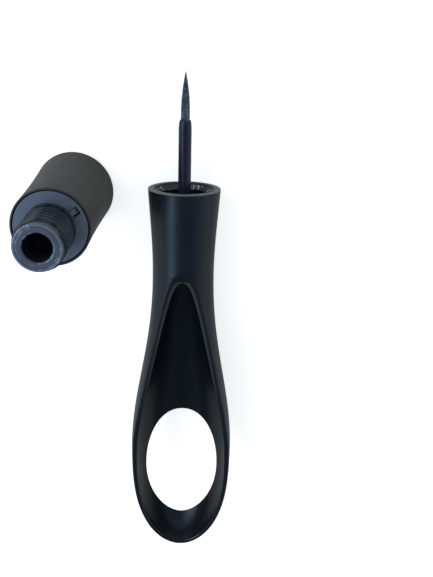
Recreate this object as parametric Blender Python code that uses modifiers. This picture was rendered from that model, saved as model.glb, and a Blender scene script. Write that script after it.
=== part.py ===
"""Liquid eyeliner with its cap off: a finger-ring brush cap lying beside its bottle.

Metres, +Z up. The origin is the centre of the bottle's foot on the table. The bottle
stands; the cap lies on its rounded back with its brush towards +Y.
"""
import math

import bmesh
import bpy
import numpy as np
from mathutils import Matrix

# Clearance between touching pieces, and how far a joined shape reaches into its carrier.
CLEARANCE = 0.00025
SEAT_GAP = 0.0003
ROOTING = 0.00015
MERGE = 0.000003

# Bottle: outer sleeve.
BODY_HEIGHT = 0.031
SLEEVE_RIM_RADIUS = 0.00885
FOOT_FLARE = 0.0011
FLARE_POWER_SHARE = 1.8
FOOT_ROUND = 0.0009
SLEEVE_RIM_WALL = 0.00045
SLEEVE_FLOOR = 0.0012

# Bottle: inner bottle with its shoulder disc, neck and screw thread.
DISC_THICKNESS = 0.0013
VIAL_RADIUS = 0.0074
VIAL_WALL = 0.0009
VIAL_FLOOR = 0.001
CEILING_DROP = 0.0018
CEILING_WALL = 0.0016
NECK_HEIGHT = 0.013
NECK_RADIUS = 0.00515
NECK_BORE = 0.00375
NECK_CHAMFER = 0.0003
NECK_COLLAR_RADIUS = 0.00575
NECK_COLLAR_HEIGHT = 0.0014
LUG_LENGTH = 0.0013
LUG_WIDTH = 0.0011
LUG_HEIGHT = 0.0010
LUG_TURN_DEG = 35

# Screw thread, shared by the neck and the liner.
THREAD_DEPTH = 0.0005
THREAD_PITCH = 0.0018
THREAD_ROOT_WIDTH = 0.0011
THREAD_CREST_WIDTH = 0.0004
THREAD_TURNS = 5
THREAD_RUN_OUT = 0.0011

# Wiper in the neck.
WIPER_FLANGE_RADIUS = 0.0043
WIPER_FLANGE_THICKNESS = 0.0007
WIPER_BORE = 0.003
WIPER_CHAMFER = 0.0003
WIPER_LENGTH = 0.010
WIPER_CONE_LENGTH = 0.0025
WIPER_LIP_WALL = 0.00055
WIPER_LIP_HEIGHT = 0.0006

# Mixing ball in the ink chamber.
BALL_RADIUS = 0.0015
BALL_PLACE_SHARES = (0.34, -0.22)

# Cap: ring handle, measured along its axis from the mouth.
HANDLE_LENGTH = 0.105
MOUTH_RADIUS = 0.00885
MOUTH_ROUND = 0.0004
WAIST_RADIUS = 0.0077
WAIST_AT = 0.0205
BELLY_RADIUS = 0.0135
DOME_LENGTH = 0.033
MOUTH_WALL = 0.0018
HANDLE_WALL = 0.00125
SCOOP_FROM = 0.0198
SCOOP_BEVEL = 0.0023
RING_HOLE_LENGTH = 0.03255
RING_HOLE_TIP_BAND = 0.00545
RING_HOLE_WIDTH = 0.0222
TAPER_SLOPE_SHARE = 1.16
SWELL_POWER_SHARE = 1.12
TIP_POWER_SHARE = 2.7
SCOOP_POWER_SHARE = 0.8
SCOOP_RIM_SHARES = ((0, 1), (0.042, 0.962), (0.091, 0.908), (0.135, 0.857), (0.175, 0.806),
                    (0.214, 0.754), (0.251, 0.704), (0.287, 0.66), (0.322, 0.618),
                    (0.377, 0.562), (0.482, 0.487), (0.548, 0.425), (0.613, 0.343),
                    (0.666, 0.265), (0.757, 0.165), (0.856, 0.09), (1, 0))
RING_HOLE_WIDEST_SHARE = 0.461
RING_HOLE_POWER_SHARES = (2.2, 1.9)

# Cap: threaded liner, brush stem and brush tip.
LINER_RECESS = 0.0007
LINER_LEAD_IN = 0.0021
LINER_END_WALL = 0.0015
LINER_DEPTH_SPARE = 0.0003
STEM_RADIUS = 0.00155
STEM_REACH = 0.0161
STEM_END_ROUND = 0.00025
STEM_HEAD_RADIUS = 0.0028
STEM_HEAD_THICKNESS = 0.0012
SOCKET_DEPTH = 0.0017
TUFT_RADIUS = 0.00108
TUFT_LENGTH = 0.0116
TUFT_BACKING = 0.0005
TUFT_POWER_SHARE = 2.6
TUFT_GATHER_SHARE = 0.04
STRAND_RADIUS = 0.000034
STRAND_SHOULDER_SHARE = 0.78
STRANDS = 300

# Where the cap lies on the table, by the centre of its mouth.
CAP_ACROSS = 0.0282
CAP_ALONG = 0.0035

# Facets.
TURN_STEPS = 32
THREAD_STEPS = 20
HANDLE_COLUMNS = 14
COLUMN_POWER = 1.5
CORNER_STEPS = 3
GOLDEN_TURN = math.pi * (3 - math.sqrt(5))

# Sizes that follow from the ones above.
DISC_RADIUS = SLEEVE_RIM_RADIUS - SLEEVE_RIM_WALL - CLEARANCE
SLEEVE_BORE = VIAL_RADIUS + CLEARANCE
VIAL_BASE = SLEEVE_FLOOR + SEAT_GAP
CHAMBER_FLOOR = VIAL_BASE + VIAL_FLOOR
CHAMBER_RADIUS = VIAL_RADIUS - VIAL_WALL
NECK_TOP = BODY_HEIGHT + NECK_HEIGHT
THREAD_RADIUS = NECK_RADIUS + THREAD_DEPTH
LINER_BORE = THREAD_RADIUS + CLEARANCE
LINER_DEPTH = NECK_HEIGHT + LINER_DEPTH_SPARE
STEM_HOLE = STEM_RADIUS + CLEARANCE
SOCKET_RADIUS = TUFT_RADIUS + CLEARANCE
WIPER_ORIFICE = STEM_RADIUS + CLEARANCE
STEM_HEAD_AT = LINER_DEPTH + LINER_END_WALL + CLEARANCE
BELLY_AT = HANDLE_LENGTH - DOME_LENGTH
RING_HOLE_FROM = HANDLE_LENGTH - RING_HOLE_TIP_BAND - RING_HOLE_LENGTH
RING_HOLE_WIDEST = RING_HOLE_FROM + RING_HOLE_LENGTH * RING_HOLE_WIDEST_SHARE


def collection(name):
    """A new collection in the scene."""
    group = bpy.data.collections.new(name)
    bpy.context.scene.collection.children.link(group)
    return group


def plastic(name, colour, roughness, metallic=0.0):
    """A plain shader of one colour."""
    material = bpy.data.materials.new(name)
    material.use_nodes = True
    shader = material.node_tree.nodes["Principled BSDF"]
    shader.inputs["Base Color"].default_value = (*colour, 1.0)
    shader.inputs["Roughness"].default_value = roughness
    shader.inputs["Metallic"].default_value = metallic
    return material


def object_from(bm, name, parent, material=None, group=None):
    """A named object from a bmesh, carried by an empty."""
    mesh = bpy.data.meshes.new(name)
    bm.to_mesh(mesh)
    bm.free()
    piece = bpy.data.objects.new(name, mesh)
    piece.parent = parent
    if material:
        mesh.materials.append(material)
        mesh.shade_smooth()
        mesh.set_sharp_from_angle(angle=math.radians(35))
    group.objects.link(piece)
    return piece


def turned(name, profile, parent, material, group, closed=False, steps=TURN_STEPS):
    """A profile of (radius, height) points, running down its outer side, turned about Z."""
    bm = bmesh.new()
    points = [bm.verts.new((radius, 0, height)) for radius, height in profile]
    for first, second in zip(points, points[1:]):
        bm.edges.new((first, second))
    if closed:
        bm.edges.new((points[-1], points[0]))
    piece = object_from(bm, name, parent, material, group)
    screw = piece.modifiers.new("turn", "SCREW")
    screw.steps = screw.render_steps = steps
    screw.use_merge_vertices = True
    screw.merge_threshold = 0.00001
    return piece


def corner(centre, radius, start_deg, end_deg, steps=CORNER_STEPS):
    """Points of a round corner in a profile, about its centre."""
    angles = np.radians(np.linspace(start_deg, end_deg, steps + 1))
    return [(centre[0] + radius * math.cos(a), centre[1] + radius * math.sin(a)) for a in angles]


def thread_ridge(name, root_radius, crest_radius, first_height, parent, group):
    """A helical ridge of trapezoid section, closed at both ends, to join to a wall."""
    half_root = THREAD_ROOT_WIDTH / 2
    half_crest = THREAD_CREST_WIDTH / 2
    section = [(root_radius, -half_root), (crest_radius, -half_crest),
               (crest_radius, half_crest), (root_radius, half_root)]
    steps = THREAD_STEPS * THREAD_TURNS
    bm = bmesh.new()
    rings = []
    for step in range(steps + 1):
        turn = 2 * math.pi * step / THREAD_STEPS
        rise = first_height + THREAD_PITCH * step / THREAD_STEPS
        rings.append([bm.verts.new((radius * math.cos(turn), radius * math.sin(turn),
                                    rise + height)) for radius, height in section])
    for ring, following in zip(rings, rings[1:]):
        for i in range(4):
            j = (i + 1) % 4
            bm.faces.new((ring[i], ring[j], following[j], following[i]))
    bm.faces.new(rings[0])
    bm.faces.new(rings[-1])
    bmesh.ops.recalc_face_normals(bm, faces=bm.faces)
    return object_from(bm, name, parent, group=group)


def join(piece, other):
    """Make another shape part of a piece."""
    union = piece.modifiers.new("join", "BOOLEAN")
    union.operation = "UNION"
    union.solver = "EXACT"
    union.object = other
    other.hide_render = True
    other.display_type = "WIRE"


def sleeve_radius(height):
    """Outer radius of the sleeve, flaring gently towards its foot."""
    return SLEEVE_RIM_RADIUS + FOOT_FLARE * (1 - height / BODY_HEIGHT) ** FLARE_POWER_SHARE


def make_outer_sleeve(parent, group):
    """The jacket that the inner bottle drops into, open at the top, with a thin rim."""
    heights = np.linspace(BODY_HEIGHT, FOOT_ROUND, 8)
    foot_radius = sleeve_radius(FOOT_ROUND)
    ledge = BODY_HEIGHT - DISC_THICKNESS - SEAT_GAP
    rim_bore = SLEEVE_RIM_RADIUS - SLEEVE_RIM_WALL
    profile = [(0, SLEEVE_FLOOR), (SLEEVE_BORE, SLEEVE_FLOOR), (SLEEVE_BORE, ledge),
               (rim_bore, ledge), (rim_bore, BODY_HEIGHT)]
    profile += [(sleeve_radius(height), height) for height in heights]
    profile += corner((foot_radius - FOOT_ROUND, FOOT_ROUND), FOOT_ROUND, 0, -90)[1:]
    profile += [(0, 0)]
    black = plastic("sleeve_black", (0.030, 0.034, 0.040), 0.42)
    return turned("outer_sleeve", profile, parent, black, group)


def make_inner_bottle(parent, group, cutters):
    """The ink bottle: chamber, shoulder disc, and a neck with its thread, collar and lug."""
    flange_seat = NECK_TOP - WIPER_FLANGE_THICKNESS - SEAT_GAP
    flange_bore = WIPER_FLANGE_RADIUS + CLEARANCE
    ceiling = BODY_HEIGHT - CEILING_WALL
    disc_base = BODY_HEIGHT - DISC_THICKNESS
    collar_top = BODY_HEIGHT + NECK_COLLAR_HEIGHT
    profile = [(0, CHAMBER_FLOOR), (CHAMBER_RADIUS, CHAMBER_FLOOR),
               (CHAMBER_RADIUS, ceiling - CEILING_DROP), (NECK_BORE, ceiling),
               (NECK_BORE, flange_seat), (flange_bore, flange_seat), (flange_bore, NECK_TOP),
               (NECK_RADIUS - NECK_CHAMFER, NECK_TOP), (NECK_RADIUS, NECK_TOP - NECK_CHAMFER),
               (NECK_RADIUS, collar_top), (NECK_COLLAR_RADIUS, collar_top),
               (NECK_COLLAR_RADIUS, BODY_HEIGHT), (DISC_RADIUS, BODY_HEIGHT),
               (DISC_RADIUS, disc_base), (VIAL_RADIUS, disc_base), (VIAL_RADIUS, VIAL_BASE),
               (0, VIAL_BASE)]
    slate = plastic("bottle_slate", (0.13, 0.165, 0.25), 0.38)
    bottle = turned("inner_bottle", profile, parent, slate, group)
    first = collar_top + THREAD_RUN_OUT
    join(bottle, thread_ridge("neck_thread", NECK_RADIUS - ROOTING, THREAD_RADIUS, first,
                              parent, cutters))
    bm = bmesh.new()
    bmesh.ops.create_cube(bm, size=1.0)
    bmesh.ops.scale(bm, vec=(LUG_LENGTH, LUG_WIDTH, LUG_HEIGHT), verts=bm.verts)
    reach = NECK_COLLAR_RADIUS + LUG_LENGTH / 2 - ROOTING
    bmesh.ops.translate(bm, vec=(reach, 0, BODY_HEIGHT + LUG_HEIGHT / 2 - ROOTING),
                        verts=bm.verts)
    turn = Matrix.Rotation(math.radians(LUG_TURN_DEG), 3, "Z")
    bmesh.ops.rotate(bm, cent=(0, 0, 0), matrix=turn, verts=bm.verts)
    join(bottle, object_from(bm, "neck_lug", parent, group=cutters))
    return bottle


def make_wiper(parent, group):
    """The soft insert that wipes the stem: flange, tube and a cone down to a small lip."""
    flange_base = NECK_TOP - WIPER_FLANGE_THICKNESS
    tube = NECK_BORE - CLEARANCE
    base = NECK_TOP - WIPER_LENGTH
    cone_top = base + WIPER_CONE_LENGTH
    profile = [(WIPER_BORE + WIPER_CHAMFER, NECK_TOP), (WIPER_FLANGE_RADIUS, NECK_TOP),
               (WIPER_FLANGE_RADIUS, flange_base), (tube, flange_base), (tube, cone_top),
               (WIPER_ORIFICE + WIPER_LIP_WALL, base), (WIPER_ORIFICE, base),
               (WIPER_ORIFICE, base + WIPER_LIP_HEIGHT), (WIPER_BORE, cone_top),
               (WIPER_BORE, NECK_TOP - WIPER_CHAMFER)]
    soft = plastic("wiper_grey", (0.16, 0.19, 0.25), 0.5)
    return turned("orifice_wiper", profile, parent, soft, group, closed=True)


def make_ball(parent, group):
    """The steel ball that stirs the ink when the bottle is shaken."""
    bm = bmesh.new()
    bmesh.ops.create_uvsphere(bm, u_segments=16, v_segments=10, radius=BALL_RADIUS)
    steel = plastic("ball_steel", (0.60, 0.60, 0.62), 0.2, 1.0)
    ball = object_from(bm, "mixing_ball", parent, steel, group)
    across, along = (CHAMBER_RADIUS * share for share in BALL_PLACE_SHARES)
    ball.location = (across, along, CHAMBER_FLOOR + SEAT_GAP + BALL_RADIUS)
    return ball


def handle_radius(along):
    """Outer radius of the handle: taper from the mouth, swell to the belly, domed tip."""
    along = np.asarray(along, dtype=float)
    taper = np.clip(along / WAIST_AT, 0, 1)
    swell = np.clip((along - WAIST_AT) / (BELLY_AT - WAIST_AT), 0, 1) ** SWELL_POWER_SHARE
    dome = np.clip((along - BELLY_AT) / (HANDLE_LENGTH - BELLY_AT), 0, 1)
    lip = np.clip(1 - along / MOUTH_ROUND, 0, 1)
    radius = WAIST_RADIUS
    radius = radius + (MOUTH_RADIUS - WAIST_RADIUS) * (1 - taper) ** 2 * (
        1 + (2 - TAPER_SLOPE_SHARE) * taper)
    radius = radius + (BELLY_RADIUS - WAIST_RADIUS) * (1 - np.cos(math.pi * swell)) / 2
    radius = radius * np.sqrt(1 - dome ** TIP_POWER_SHARE)
    return radius - MOUTH_ROUND * (1 - np.sqrt(1 - lip ** 2))


def handle_wall(along):
    """Wall of the handle, thicker at its mouth."""
    share = np.clip(1 - np.asarray(along, dtype=float) / LINER_DEPTH, 0, 1)
    return HANDLE_WALL + (MOUTH_WALL - HANDLE_WALL) * share


def smooth_table(rows, value):
    """A smooth curve through the rows of a table, without overshoot."""
    knots, heights = np.array(rows, dtype=float).T
    slopes = np.diff(heights) / np.diff(knots)
    tangents = np.concatenate([slopes[:1], (slopes[1:] + slopes[:-1]) / 2, slopes[-1:]])
    place = np.clip(np.searchsorted(knots, value, side="right") - 1, 0, len(slopes) - 1)
    gap = np.diff(knots)[place]
    share = (value - knots[place]) / gap
    rise = heights[place + 1] - heights[place]
    first, last = tangents[place] * gap, tangents[place + 1] * gap
    return heights[place] + share * first + share ** 2 * (3 * rise - 2 * first - last) + (
        share ** 3 * (first + last - 2 * rise))


def scoop_angle(along):
    """Half angle that the scoop opens at the front: none before it, a half circle at the tip."""
    share = np.clip((along - SCOOP_FROM) / (HANDLE_LENGTH - SCOOP_FROM), 0, 1)
    rim = smooth_table(SCOOP_RIM_SHARES, share ** SCOOP_POWER_SHARE)
    return np.arccos(np.clip(rim, 0, 1))


def scoop_cut(along):
    """Half angle of the scoop at the inner skin, and how deep its cut goes in front.

    The cut face is square to the wall along the sides. Towards the apex it leans, so the
    inner skin opens later. The depth is a share of the wall, from 0 to 1.
    """
    radius = handle_radius(along)
    inner = np.maximum(radius - handle_wall(along), HANDLE_WALL)
    angle = scoop_angle(along)
    outer_square = (radius * np.sin(angle)) ** 2
    inner_square = (inner * np.sin(angle)) ** 2 - SCOOP_BEVEL ** 2 * np.cos(angle) ** 3
    inner_angle = np.arcsin(np.sqrt(np.clip(inner_square, 0, None)) / inner)
    drop = np.maximum(outer_square - inner_square, ROOTING ** 2)
    return inner_angle, np.clip(outer_square / drop, 0, 1)


def inner_scoop_start():
    """Where along the cap the scoop first breaks through the inner skin."""
    along = np.linspace(SCOOP_FROM, BELLY_AT, 2000)
    return along[np.argmax(scoop_cut(along)[1] >= 1)]


def ring_hole_angle(along):
    """Half angle that the finger hole opens at the back, as an egg of two half ovals."""
    towards_mouth = along < RING_HOLE_WIDEST
    reach = np.where(towards_mouth, RING_HOLE_WIDEST - RING_HOLE_FROM,
                     RING_HOLE_FROM + RING_HOLE_LENGTH - RING_HOLE_WIDEST)
    power = np.where(towards_mouth, *RING_HOLE_POWER_SHARES)
    share = np.clip(np.abs(along - RING_HOLE_WIDEST) / reach, 0, 1)
    half_width = RING_HOLE_WIDTH / 2 * (1 - share ** power) ** (1 / power)
    return np.arcsin(half_width / np.maximum(handle_radius(along), half_width + ROOTING))


def stretch(start, end, count, dense=None):
    """Stations from just past start up to end, closer together at the named end."""
    share = np.arange(1, count + 1) / count
    if dense == "start":
        share = 1 - np.cos(share * math.pi / 2)
    if dense == "end":
        share = np.sin(share * math.pi / 2)
    return start + (end - start) * share


def handle_skins(along):
    """The handle's right half: its two skins as grids of stations and columns, and its cut.

    The cut is the line where the scoop's face ends: on the inner skin's rim, or on the
    centre line inside the wall where the inner skin is still closed.
    """
    radius = handle_radius(along)
    step = MOUTH_ROUND / 8
    before = np.clip(along - step, MOUTH_ROUND, None)
    after = np.clip(along + step, None, HANDLE_LENGTH)
    slope = (handle_radius(after) - handle_radius(before)) / np.maximum(after - before, step)
    slope[-1] = -BELLY_RADIUS / step
    slope[0] = slope[1]
    square = 1 / np.sqrt(1 + slope ** 2)
    wall = handle_wall(along)
    inner_radius = radius - wall * square
    inner_radius[0] = radius[0] + MOUTH_ROUND - wall[0]
    inner_along = along + wall * slope * square
    inner_along[0] = 0
    inner_along[1] = max(inner_along[1], along[1] / 2)
    inner_radius[-1] = 0
    middle = RING_HOLE_FROM + RING_HOLE_LENGTH / 2
    front_open = along > SCOOP_FROM + ROOTING
    through = along > inner_scoop_start() + ROOTING
    inner_front, depth = scoop_cut(along)
    back_open = np.abs(along - middle) < RING_HOLE_LENGTH / 2 - ROOTING
    back = ring_hole_angle(along) * back_open
    columns = np.linspace(0, 1, HANDLE_COLUMNS + 1)
    skins = []
    for ring, place, front in ((radius, along, scoop_angle(along) * front_open),
                               (inner_radius, inner_along, inner_front * through)):
        angle = math.pi * columns + front[:, None] * (1 - columns) ** COLUMN_POWER - (
            back[:, None] * columns ** COLUMN_POWER)
        skins.append(np.stack([ring[:, None] * np.sin(angle), -ring[:, None] * np.cos(angle),
                               np.broadcast_to(-place[:, None], angle.shape)], axis=-1))
    depth = np.where(front_open, depth, 0)[:, None]
    crown = np.stack([0 * along, -radius, -along], axis=-1)
    cut = np.where(through[:, None], skins[1][:, 0], crown + (skins[1][:, 0] - crown) * depth)
    return skins, cut, front_open, back_open


def make_ring_handle(parent, group):
    """The cap's shell: a tube, cut open at the front into a scoop, with a finger hole behind.

    Each half is two skins over the same stations. A seam between the halves is closed at
    the front up to the scoop and at the back except along the finger hole.
    """
    middle = RING_HOLE_FROM + RING_HOLE_LENGTH / 2
    hole_end = RING_HOLE_FROM + RING_HOLE_LENGTH
    inner_from = inner_scoop_start()
    along = np.concatenate([
        [0, MOUTH_ROUND], stretch(MOUTH_ROUND, SCOOP_FROM, 6),
        stretch(SCOOP_FROM, inner_from, 3), stretch(inner_from, RING_HOLE_FROM, 12, "start"),
        stretch(RING_HOLE_FROM, middle, 5, "start"), stretch(middle, hole_end, 5, "end"),
        stretch(hole_end, HANDLE_LENGTH, 4, "end")])
    (outer, inner), cut, front_open, back_open = handle_skins(along)
    bm = bmesh.new()

    def panel(*corners):
        """A face through points, without the ones that coincide."""
        kept = []
        for point in corners:
            if not kept or np.linalg.norm(point - kept[-1]) > MERGE:
                kept.append(point)
        if len(kept) > 1 and np.linalg.norm(kept[0] - kept[-1]) <= MERGE:
            kept.pop()
        if len(kept) > 2:
            bm.faces.new([bm.verts.new(point) for point in kept])

    last = len(along) - 1
    for side in (1, -1):
        flip = np.array([side, 1, 1])
        skin, lining, face = outer * flip, inner * flip, cut * flip
        for i in range(last):
            for j in range(HANDLE_COLUMNS):
                for grid in (skin, lining):
                    panel(grid[i, j], grid[i + 1, j], grid[i + 1, j + 1], grid[i, j + 1])
            for j, opened, under in ((0, front_open, face),
                                     (HANDLE_COLUMNS, back_open, lining[:, -1])):
                if opened[i] or opened[i + 1]:
                    panel(skin[i, j], skin[i + 1, j], under[i + 1], under[i])
        for j in range(HANDLE_COLUMNS):
            panel(skin[0, j], skin[0, j + 1], lining[0, j + 1], lining[0, j])
    bmesh.ops.remove_doubles(bm, verts=bm.verts, dist=MERGE)
    bmesh.ops.recalc_face_normals(bm, faces=bm.faces)
    black = plastic("handle_black", (0.022, 0.026, 0.032), 0.40)
    return object_from(bm, "ring_handle", parent, black, group)


def make_liner(parent, group, cutters):
    """The threaded inner cap, pressed into the handle's mouth, with a hole for the stem."""
    floor = LINER_DEPTH + LINER_END_WALL
    places = np.array([LINER_RECESS, floor])
    outside = handle_radius(places) - handle_wall(places) - CLEARANCE
    profile = [(outside[0], -LINER_RECESS), (outside[1], -floor), (STEM_HOLE, -floor),
               (STEM_HOLE, -LINER_DEPTH), (LINER_BORE, -LINER_DEPTH),
               (LINER_BORE, -LINER_RECESS)]
    gloss = plastic("liner_black", (0.020, 0.024, 0.032), 0.22)
    liner = turned("thread_liner", profile, parent, gloss, group, closed=True)
    lowest = THREAD_PITCH * THREAD_TURNS + LINER_LEAD_IN + LINER_RECESS
    join(liner, thread_ridge("liner_thread", LINER_BORE + ROOTING, LINER_BORE - THREAD_DEPTH,
                             -lowest, parent, cutters))
    return liner


def make_stem(parent, group):
    """The rod, with a head behind the liner's end wall and a socket for the brush."""
    head_base = STEM_HEAD_AT + STEM_HEAD_THICKNESS
    profile = [(0, STEM_REACH - SOCKET_DEPTH), (SOCKET_RADIUS, STEM_REACH - SOCKET_DEPTH),
               (SOCKET_RADIUS, STEM_REACH), (STEM_RADIUS - STEM_END_ROUND / 2, STEM_REACH),
               (STEM_RADIUS, STEM_REACH - STEM_END_ROUND), (STEM_RADIUS, -STEM_HEAD_AT),
               (STEM_HEAD_RADIUS, -STEM_HEAD_AT), (STEM_HEAD_RADIUS, -head_base),
               (0, -head_base)]
    gloss = plastic("stem_black", (0.018, 0.022, 0.032), 0.25)
    return turned("brush_stem", profile, parent, gloss, group, steps=TURN_STEPS - 8)


def make_tuft(parent, group, cutters):
    """The pointed brush: straight strands, the middle ones longest, on a slice of backing."""
    root = STEM_REACH - SOCKET_DEPTH + SEAT_GAP
    top = STEM_REACH + TUFT_LENGTH
    length = top - root - TUFT_BACKING
    bm = bmesh.new()
    for number in range(STRANDS):
        reach = math.sqrt((number + 0.5) / STRANDS) * (TUFT_RADIUS - STRAND_RADIUS * 2)
        turn = number * GOLDEN_TURN
        tall = length
        for _ in range(6):
            drawn = 1 - TUFT_GATHER_SHARE * tall / length
            tall = length * (1 - reach * drawn / TUFT_RADIUS) ** (1 / TUFT_POWER_SHARE)
        rings = []
        for share, thickness in ((0, 1), (STRAND_SHOULDER_SHARE, 0.8), (1, 0)):
            height = root + TUFT_BACKING / 2 + (tall + TUFT_BACKING / 2) * share
            distance = reach * (1 - TUFT_GATHER_SHARE * tall * share / length)
            ring = []
            for side in range(3 if thickness else 1):
                face = turn + side * 2 * math.pi / 3
                ring.append(bm.verts.new((
                    distance * math.cos(turn) + STRAND_RADIUS * thickness * math.cos(face),
                    distance * math.sin(turn) + STRAND_RADIUS * thickness * math.sin(face),
                    height)))
            rings.append(ring)
        low, high, tip = rings
        bm.faces.new(low[::-1])
        for side in range(3):
            following = (side + 1) % 3
            bm.faces.new((low[side], low[following], high[following], high[side]))
            bm.faces.new((high[side], high[following], tip[0]))
    strands = object_from(bm, "tuft_strands", parent, group=cutters)
    fibre = plastic("brush_fibre", (0.045, 0.058, 0.085), 0.45)
    profile = [(0, root + TUFT_BACKING), (TUFT_RADIUS, root + TUFT_BACKING),
               (TUFT_RADIUS, root), (0, root)]
    tuft = turned("brush_tip", profile, parent, fibre, group, steps=20)
    join(tuft, strands)
    return tuft


def empty(name, group, location, tilt):
    """A carrier that pieces are placed by."""
    carrier = bpy.data.objects.new(name, None)
    carrier.location = location
    carrier.rotation_euler = (tilt, 0, 0)
    group.objects.link(carrier)
    return carrier


def lying_slope():
    """Slope of the cap's axis when its mouth and its belly both touch the table."""
    along = np.linspace(WAIST_AT, HANDLE_LENGTH, 400)
    rise = handle_radius(along) - handle_radius(MOUTH_ROUND)
    return math.atan(np.max(rise / (along - MOUTH_ROUND)))


def main():
    for thing in list(bpy.data.objects):
        bpy.data.objects.remove(thing)
    parts = collection("liquid_eyeliner")
    cutters = collection("joined_shapes")

    bottle_axis = empty("bottle_axis", parts, (0, 0, 0), 0)
    make_outer_sleeve(bottle_axis, parts)
    make_inner_bottle(bottle_axis, parts, cutters)
    make_wiper(bottle_axis, parts)
    make_ball(bottle_axis, parts)

    slope = lying_slope()
    rim = float(handle_radius(MOUTH_ROUND))
    mouth_height = rim * math.cos(slope) + MOUTH_ROUND * math.sin(slope)
    cap_axis = empty("cap_axis", parts, (CAP_ACROSS, CAP_ALONG, mouth_height),
                     -math.pi / 2 - slope)
    make_ring_handle(cap_axis, parts)
    make_liner(cap_axis, parts, cutters)
    make_stem(cap_axis, parts)
    make_tuft(cap_axis, parts, cutters)
    bpy.context.view_layer.update()
    print("cap axis: mouth height", round(mouth_height, 6), "slope deg",
          round(math.degrees(slope), 4))


main()
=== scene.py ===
"""Liquid eyeliner with its cap off: a small round bottle, and the finger-ring brush cap beside it.

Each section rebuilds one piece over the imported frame, in metres. The bottle stands on the
origin; the cap lies on its back with its brush towards +Y.
"""
import math

import bmesh
import bpy
import numpy as np
from mathutils import Matrix, Vector


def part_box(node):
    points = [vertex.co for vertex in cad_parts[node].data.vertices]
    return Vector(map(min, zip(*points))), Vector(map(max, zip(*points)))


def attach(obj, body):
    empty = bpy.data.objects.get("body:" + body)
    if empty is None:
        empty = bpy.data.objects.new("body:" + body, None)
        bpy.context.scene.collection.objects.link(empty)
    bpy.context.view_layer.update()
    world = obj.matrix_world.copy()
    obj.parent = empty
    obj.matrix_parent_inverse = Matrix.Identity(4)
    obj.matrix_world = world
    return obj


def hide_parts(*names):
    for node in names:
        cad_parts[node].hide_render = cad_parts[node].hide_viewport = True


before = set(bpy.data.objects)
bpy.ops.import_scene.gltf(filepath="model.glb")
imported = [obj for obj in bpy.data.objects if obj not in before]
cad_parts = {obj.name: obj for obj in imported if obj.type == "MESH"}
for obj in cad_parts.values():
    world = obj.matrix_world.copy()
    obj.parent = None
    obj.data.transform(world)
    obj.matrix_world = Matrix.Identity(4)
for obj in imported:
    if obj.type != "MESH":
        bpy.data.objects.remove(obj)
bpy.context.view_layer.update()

# ---- ring handle ----
# The cap's shell is one black moulding: a plain tube at the mouth that swells towards a
# round tip. Its front is cut open into a long scoop, and its back has a hole for a finger.
MM = 0.001
TINY, MERGE = 0.001 * MM, 0.0002 * MM
TURN = 2 * math.pi
HANDLE_LENGTH = 105 * MM
MOUTH_RADIUS, MOUTH_WALL = 8.85 * MM, 1.62 * MM
WAIST_RADIUS, WAIST_AT = 7.7 * MM, 20.5 * MM
BELLY_RADIUS, BELLY_AT = 13.5 * MM, 72 * MM
SHELL_WALL = 1.25 * MM
LINER_DEPTH = 13.3 * MM
TAPER_SLOPE, SWELL_POWER, DOME_POWER = 1.16, 1.12, 2.7
SCOOP_FROM, SCOOP_POWER, SCOOP_BEVEL = 19.8 * MM, 0.8, 2.3 * MM
SCOOP_RIM = ((0, 1), (0.042, 0.962), (0.091, 0.908), (0.135, 0.857), (0.175, 0.806),
             (0.214, 0.754), (0.251, 0.704), (0.287, 0.66), (0.322, 0.618), (0.377, 0.562),
             (0.482, 0.487), (0.548, 0.425), (0.613, 0.343), (0.666, 0.265), (0.757, 0.165),
             (0.856, 0.09), (1, 0))
RING_FROM, RING_WIDEST, RING_TO = 67 * MM, 82.005 * MM, 99.55 * MM
RING_HALF_WIDTH, RING_POWERS = 11.1 * MM, (2.2, 1.9)
CAP_ACROSS, CAP_ALONG, MOUTH_LIP = 28.2 * MM, 3.5 * MM, 0.4 * MM
OUTER_ROUNDING, INNER_ROUNDING, RING_ROUNDING = 0.7 * MM, 0.13 * MM, 0.45 * MM
MOUTH_OUTER_ROUNDING, MOUTH_INNER_ROUNDING, TIP_ROUNDING = 0.22 * MM, 0.4 * MM, 0.7 * MM
ROUND_POWER, CRISP_POWER = 2.2, 2.6
INNER_CORNER, TIP_CORNER, CUT_SOFTNESS, CUT_SLOPE = 0.14, 0.46, 0.35, 0.4 / MM
# Widths of the painted highlight along the scoop's edge and of the painted reflection on the lip.
EDGE_REACH, LIP_REACH, LIP_FADE = 0.1 * MM, 0.3 * MM, 0.15 * MM
RIM_ZONE, RIM_COLUMNS, RIM_CROWDING, WALL_COLUMNS = 0.9 * MM, 15, 2.4, 44
LIP_ZONE, APEX_ZONE = 0.7 * MM, (18.4 * MM, 24.6 * MM)
RING_ZONE = (65.5 * MM, 69 * MM, 97.6 * MM, 100.9 * MM)
OUTLINE_STEPS, CUT_STEPS = 1200, 6000


def handle_radius(along):
    """Outer radius: a taper from the mouth, a swell to the belly and a domed tip."""
    along = np.asarray(along, dtype=float)
    taper = np.clip(along / WAIST_AT, 0, 1)
    swell = np.clip((along - WAIST_AT) / (BELLY_AT - WAIST_AT), 0, 1) ** SWELL_POWER
    dome = np.clip((along - BELLY_AT) / (HANDLE_LENGTH - BELLY_AT), 0, 1)
    radius = WAIST_RADIUS + (MOUTH_RADIUS - WAIST_RADIUS) * (1 - taper) ** 2 * (
        1 + (2 - TAPER_SLOPE) * taper)
    radius = radius + (BELLY_RADIUS - WAIST_RADIUS) * (1 - np.cos(math.pi * swell)) / 2
    return radius * np.sqrt(1 - dome ** DOME_POWER)


def handle_wall(along):
    """Wall of the handle, thicker at its mouth."""
    share = np.clip(1 - np.asarray(along, dtype=float) / LINER_DEPTH, 0, 1)
    return SHELL_WALL + (MOUTH_WALL - SHELL_WALL) * share


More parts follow.
